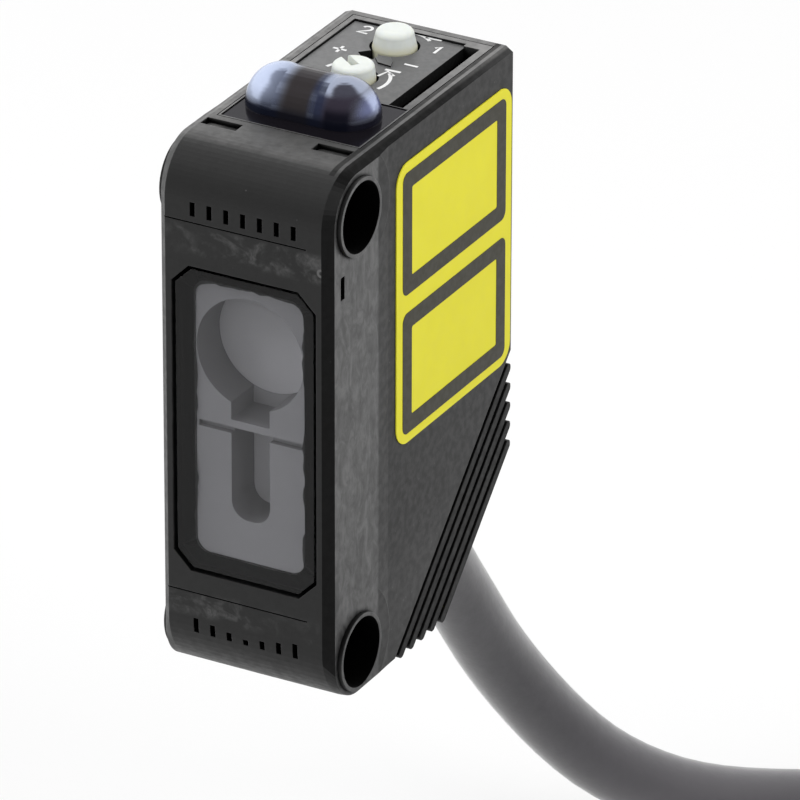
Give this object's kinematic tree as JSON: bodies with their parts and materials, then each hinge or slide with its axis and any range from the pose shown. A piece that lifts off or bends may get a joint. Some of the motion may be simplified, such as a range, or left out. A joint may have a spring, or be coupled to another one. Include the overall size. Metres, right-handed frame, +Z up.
{
  "type": "laser photoelectric sensor",
  "caption": "Compact upright laser photoelectric sensor: black case with a smoky front window, domed indicator, small control knobs, ribbed slanted corner and a grey cable.",
  "frame": {"origin": "midpoint between the two mounting hole axes, on the middle plane of the case", "axes": "+X across the case towards the label side, along the mounting holes; +Y from the window to the rear; +Z up, towards the indicator"},
  "size_m": [0.1299, 0.0383, 0.0532],
  "materials": {
    "case": "fine satin moulded plastic",
    "window": "smoky clear acrylic, polished",
    "seal": "matt black rubber",
    "optics_plastic": "satin grey moulding",
    "lens": "clear moulded lens",
    "can_metal": "bright plated metal",
    "chip": "dark filter resin",
    "board": "green solder mask",
    "pin_metal": "gold plated pins",
    "cover": "fine satin moulded plastic",
    "panel": "satin grey plate",
    "dome": "smoky blue translucent, polished",
    "led_green": "clear resin lamp",
    "led_orange": "clear resin lamp",
    "base_plastic": "matt moulded body",
    "knob": "off-white satin plastic",
    "label": "printed yellow film",
    "print": "matt printed ink",
    "bush": "dark rubber",
    "core_insulation": "coloured insulation",
    "cable": "soft grey jacket",
    "tie": "white nylon strap",
    "lead_brown": "brown insulation",
    "lead_blue": "blue insulation",
    "lead_black": "black insulation"
  },
  "bodies": {
    "housing": {"case_shell": "case", "window": "window", "window_seal": "seal", "optics_holder": "optics_plastic", "receiver_lens": "lens", "collimator_lens": "lens", "laser_diode": "can_metal", "photodiode": "chip", "shield_can": "can_metal", "main_board": "board", "control_board": "board", "board_pins": "pin_metal", "top_cover": "cover", "control_panel": "panel", "indicator_dome": "dome", "stability_led": "led_green", "output_led": "led_orange", "adjuster_base": "base_plastic", "adjuster_seal": "seal", "selector_base": "base_plastic", "selector_seal": "seal", "side_label": "label", "label_print": "print", "cable_bush": "bush", "cable_clamp": "can_metal", "core_wires": "core_insulation", "cable": "cable", "cable_hank": "cable", "cable_tie": "tie", "lead_brown": "lead_brown", "lead_blue": "lead_blue", "lead_black": "lead_black"},
    "adjuster": {"adjuster_knob": "knob"},
    "selector": {"selector_knob": "knob"}
  },
  "joints": [
    {"name": "sensitivity_turn", "type": "hinge", "parent": "housing", "child": "adjuster", "pos_m": [-0.00055, 0.0098, 0.0155], "axis": [0, 0, 1], "range_deg": [-120, 120]},
    {"name": "selector_turn", "type": "hinge", "parent": "housing", "child": "selector", "pos_m": [-0.00055, 0.0143, 0.0155], "axis": [0, 0, 1], "range_deg": [0, 90]}
  ]
}
